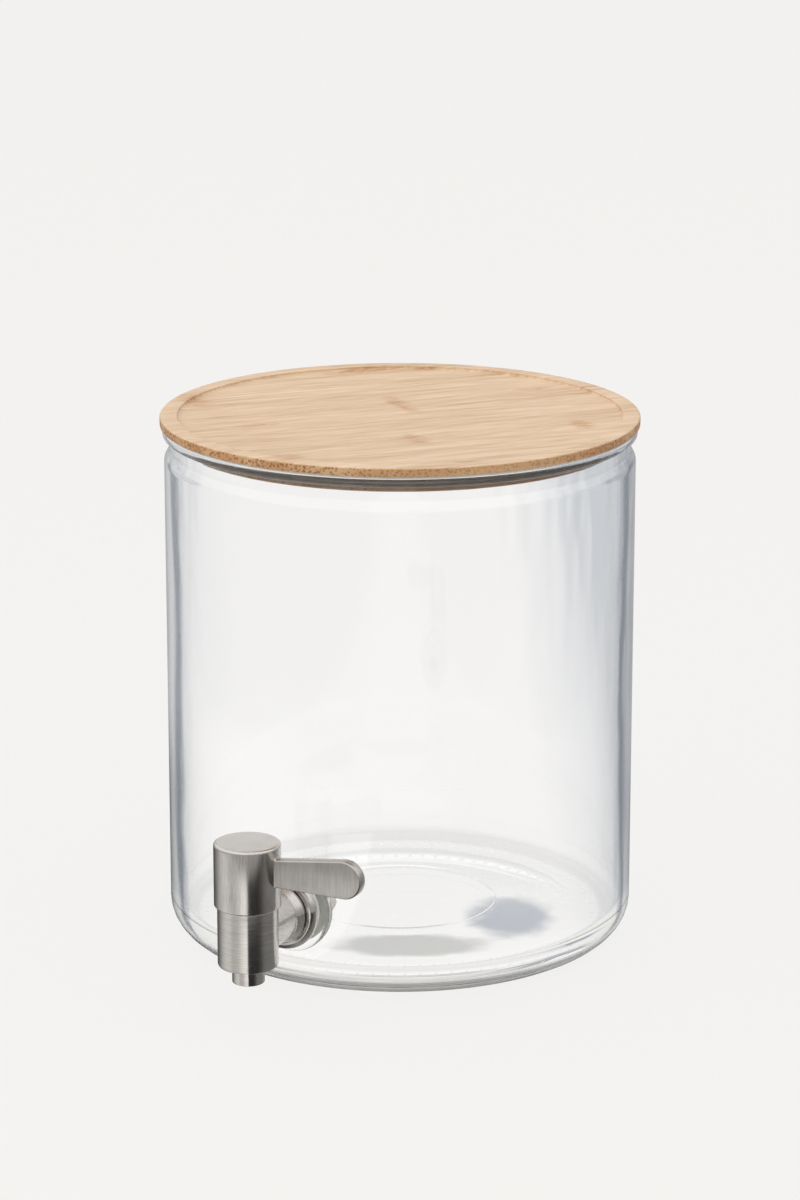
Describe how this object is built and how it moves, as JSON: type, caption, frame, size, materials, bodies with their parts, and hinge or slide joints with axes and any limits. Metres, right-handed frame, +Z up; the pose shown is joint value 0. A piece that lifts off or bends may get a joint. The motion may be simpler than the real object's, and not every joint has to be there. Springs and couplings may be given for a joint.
{
  "type": "detergent dispenser bottle",
  "caption": "Clear glass jar with a lift-off bamboo lid on a silicone seal and a stainless quarter-turn tap low on its side for dispensing liquid detergent.",
  "frame": {"origin": "on the jar's axis, in the plane that the jar stands on", "axes": "+Z up along the jar's axis, -Y out through the tap, +X along the closed lever"},
  "size_m": [0.192, 0.2364, 0.215],
  "materials": {
    "jar_glass": "clear moulded soda-lime glass",
    "bamboo": "laminated bamboo, light, clear matt lacquer",
    "seal_silicone": "translucent silicone",
    "gasket_silicone": "translucent grey-green silicone",
    "tap_steel": "brushed stainless steel",
    "thread_steel": "turned stainless steel",
    "valve_plastic": "white low-friction plastic"
  },
  "bodies": {
    "root": {"glass_jar": "jar_glass", "tap_shank": "tap_steel", "shank_flange": "tap_steel", "outer_gasket": "gasket_silicone", "inner_gasket": "gasket_silicone", "backing_washer": "thread_steel", "lock_nut": "thread_steel", "tap_body": "tap_steel", "outlet_nozzle": "tap_steel", "port_seal": "valve_plastic", "gland_nut": "thread_steel", "slip_washer": "valve_plastic", "stop_pin": "thread_steel"},
    "lid": {"lid_board": "bamboo", "lid_plug": "bamboo", "lid_seal": "seal_silicone"},
    "tap_handle": {"valve_core": "thread_steel", "core_o_ring_upper": "gasket_silicone", "core_o_ring_lower": "gasket_silicone", "handle_cap": "tap_steel", "handle_lever": "tap_steel", "handle_set_screw": "thread_steel"}
  },
  "joints": [
    {"name": "lid_lift", "type": "slide", "parent": "root", "child": "lid", "axis": [0, 0, 1], "range_m": [0, 0.08]},
    {"name": "tap_turn", "type": "hinge", "parent": "root", "child": "tap_handle", "pos_m": [0, -0.1274, 0.0601], "axis": [0, 0, 1], "range_deg": [-90, 0]}
  ]
}
